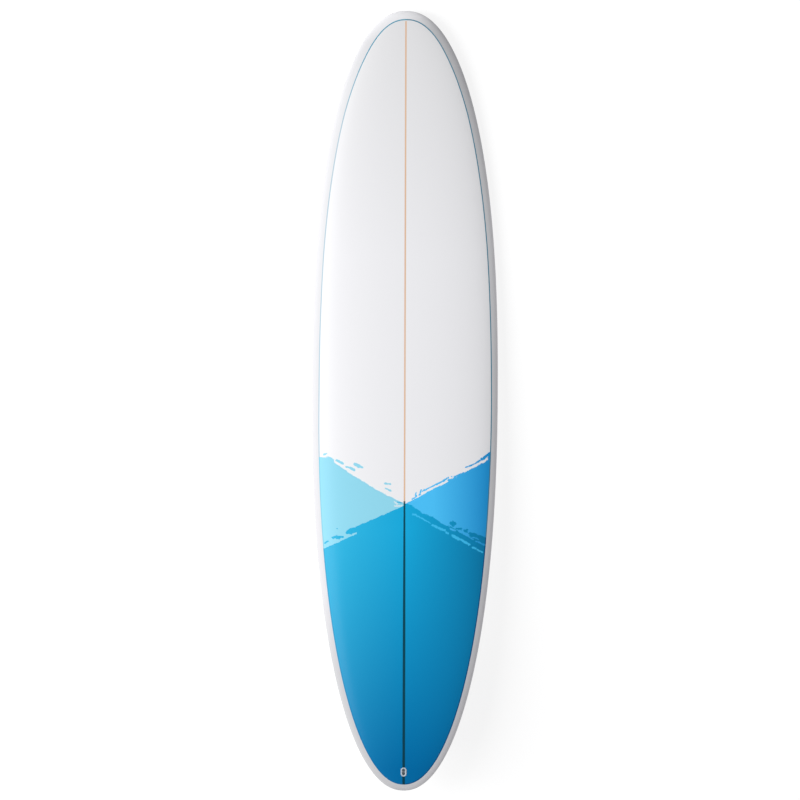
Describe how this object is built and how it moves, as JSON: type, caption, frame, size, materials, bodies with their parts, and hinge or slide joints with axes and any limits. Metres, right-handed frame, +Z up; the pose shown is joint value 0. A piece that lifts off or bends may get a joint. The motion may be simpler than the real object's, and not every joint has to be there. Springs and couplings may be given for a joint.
{
  "type": "longboard surfboard",
  "caption": "Longboard surfboard with round nose and tail, wood stringer, leash plug, sliding centre fin and two smaller side fins.",
  "frame": {"origin": "centre of the bounding box's base, with the board set down deck up on its centre fin's tip and the forward bottom", "axes": "+Y to the nose, +Z up from the deck, +X to the right rail seen from above with the nose ahead"},
  "size_m": [0.584, 2.4326, 0.2221],
  "materials": {
    "foam": "matte",
    "dense_foam": "matte",
    "stringer_wood": "matte",
    "deck_laminate": "gloss",
    "bottom_laminate": "gloss",
    "cup_plastic": "satin",
    "track_plastic": "satin",
    "fin_plastic": "gloss",
    "brass": "satin",
    "steel": "satin"
  },
  "bodies": {
    "board": {"core_left": "foam", "core_right": "foam", "stringer": "stringer_wood", "deck_skin": "deck_laminate", "bottom_skin": "bottom_laminate", "leash_cup": "cup_plastic", "leash_bar": "steel", "fin_track": "track_plastic", "track_block": "dense_foam", "plug_left_front": "track_plastic", "plug_left_rear": "track_plastic", "plug_right_front": "track_plastic", "plug_right_rear": "track_plastic", "plug_block_left": "dense_foam", "plug_block_right": "dense_foam"},
    "centre_fin": {"centre_fin": "fin_plastic", "fin_cross_pin": "brass", "fin_plate": "steel"},
    "fin_screw": {"fin_screw": "steel"},
    "side_fin_left": {"side_fin_left": "fin_plastic"},
    "side_fin_right": {"side_fin_right": "fin_plastic"},
    "grub_left_front": {"grub_left_front": "steel"},
    "grub_left_rear": {"grub_left_rear": "steel"},
    "grub_right_front": {"grub_right_front": "steel"},
    "grub_right_rear": {"grub_right_rear": "steel"}
  },
  "joints": [
    {"name": "centre_fin_slide", "type": "slide", "parent": "board", "child": "centre_fin", "axis": [0, 0.9839, -0.1786], "range_m": [-0.04, 0.022]},
    {"name": "fin_screw_turn", "type": "hinge", "parent": "centre_fin", "child": "fin_screw", "pos_m": [0, -0.88669, 0.14443], "axis": [0, -0.1786, -0.9839], "continuous": true},
    {"name": "side_fin_left_pull", "type": "slide", "parent": "board", "child": "side_fin_left", "axis": [-0.0794, -0.1791, -0.9806], "range_m": [0, 0.018]},
    {"name": "grub_left_front_turn", "type": "hinge", "parent": "board", "child": "grub_left_front", "pos_m": [-0.15201, -0.83889, 0.13164], "axis": [0.3975, -0.1816, -0.8994], "continuous": true},
    {"name": "grub_left_rear_turn", "type": "hinge", "parent": "board", "child": "grub_left_rear", "pos_m": [-0.15477, -0.91356, 0.1455], "axis": [0.3975, -0.1816, -0.8994], "continuous": true},
    {"name": "side_fin_right_pull", "type": "slide", "parent": "board", "child": "side_fin_right", "axis": [0.0794, -0.1791, -0.9806], "range_m": [0, 0.018]},
    {"name": "grub_right_front_turn", "type": "hinge", "parent": "board", "child": "grub_right_front", "pos_m": [0.15201, -0.83889, 0.13164], "axis": [-0.3975, -0.1816, -0.8994], "continuous": true},
    {"name": "grub_right_rear_turn", "type": "hinge", "parent": "board", "child": "grub_right_rear", "pos_m": [0.15477, -0.91356, 0.1455], "axis": [-0.3975, -0.1816, -0.8994], "continuous": true}
  ]
}
